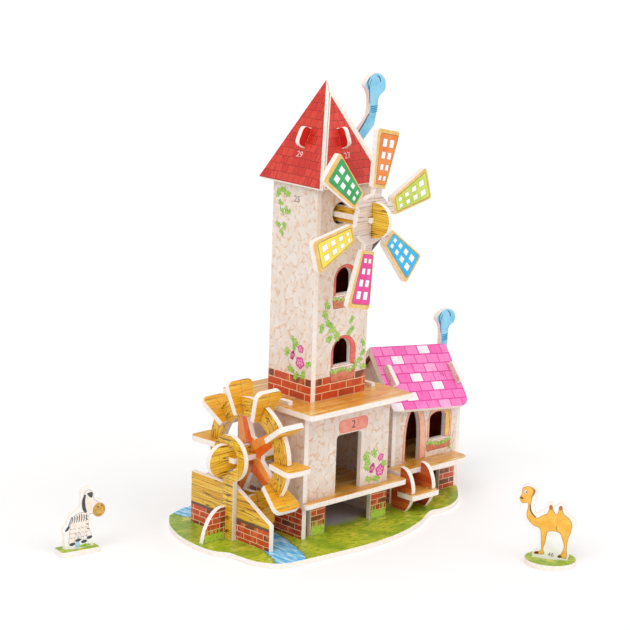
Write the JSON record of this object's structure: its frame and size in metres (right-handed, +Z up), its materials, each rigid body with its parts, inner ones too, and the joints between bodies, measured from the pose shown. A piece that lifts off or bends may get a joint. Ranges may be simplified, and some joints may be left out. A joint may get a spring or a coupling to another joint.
{
  "type": "wooden 3d jigsaw model",
  "caption": "Slot-together board model of a windmill house with a turning sail wheel, a turning water wheel, a porch and a tiled annex, and two loose animals on stands.",
  "frame": {"origin": "on the underside of the base board, under the middle of the tower", "axes": "+X right along the house front, -Y the side that the front door faces, +Z up"},
  "size_m": [0.1936, 0.145, 0.1827],
  "materials": {
    "grass_board": "satin",
    "stucco_board": "satin",
    "plank_board": "satin",
    "brick_board": "satin",
    "red_tile_board": "satin",
    "pink_tile_board": "satin",
    "blue_board": "satin",
    "sail_board": "satin",
    "paddle_board": "satin",
    "zebra_board": "satin",
    "camel_board": "satin"
  },
  "bodies": {
    "house": {"annex_back_wall": "stucco_board", "annex_floor": "plank_board", "annex_front_wall": "stucco_board", "annex_left_gable": "stucco_board", "annex_right_gable": "stucco_board", "annex_roof_back": "pink_tile_board", "annex_roof_front": "pink_tile_board", "base_plate": "grass_board", "house_back_wall": "stucco_board", "house_front_wall": "stucco_board", "house_left_wall": "stucco_board", "house_right_wall": "stucco_board", "porch_floor": "plank_board", "roof_back_panel": "red_tile_board", "roof_cross_plate_x": "red_tile_board", "roof_cross_plate_y": "red_tile_board", "roof_front_panel": "red_tile_board", "roof_left_panel": "red_tile_board", "roof_right_panel": "red_tile_board", "short_pipe": "blue_board", "stair_left_side": "plank_board", "stair_right_side": "plank_board", "stair_step": "plank_board", "tall_pipe": "blue_board", "tower_back_wall": "stucco_board", "tower_front_wall": "stucco_board", "tower_left_wall": "stucco_board", "tower_right_wall": "stucco_board", "upper_deck": "plank_board", "wheel_buttress": "brick_board", "wheel_plank_wall": "plank_board", "wheel_post": "plank_board"},
    "rotor": {"sail_wheel": "sail_board", "rotor_axle_upright": "plank_board", "rotor_axle_level": "plank_board"},
    "water_wheel": {"water_wheel_ring": "paddle_board", "wheel_axle_upright": "plank_board", "wheel_axle_level": "plank_board", "paddle_1": "paddle_board", "paddle_2": "paddle_board", "paddle_3": "paddle_board", "paddle_4": "paddle_board", "paddle_5": "paddle_board", "paddle_6": "paddle_board", "paddle_7": "paddle_board", "paddle_8": "paddle_board", "paddle_9": "paddle_board", "paddle_10": "paddle_board"},
    "zebra": {"zebra_figure": "zebra_board", "zebra_stand": "grass_board"},
    "camel": {"camel_figure": "camel_board", "camel_stand": "grass_board"}
  },
  "joints": [
    {"name": "sail_spin", "type": "hinge", "parent": "house", "child": "rotor", "pos_m": [-0.0006, -0.0282, 0.1301], "axis": [-0.0872, 0.9962, 0], "continuous": true},
    {"name": "wheel_spin", "type": "hinge", "parent": "house", "child": "water_wheel", "pos_m": [-0.035, 0, 0.0352], "axis": [1, 0, 0], "continuous": true},
    {"name": "zebra_lift", "type": "slide", "parent": "house", "child": "zebra", "axis": [0, 0, 1], "range_m": [0, 0.06]},
    {"name": "camel_lift", "type": "slide", "parent": "house", "child": "camel", "axis": [0, 0, 1], "range_m": [0, 0.06]}
  ]
}
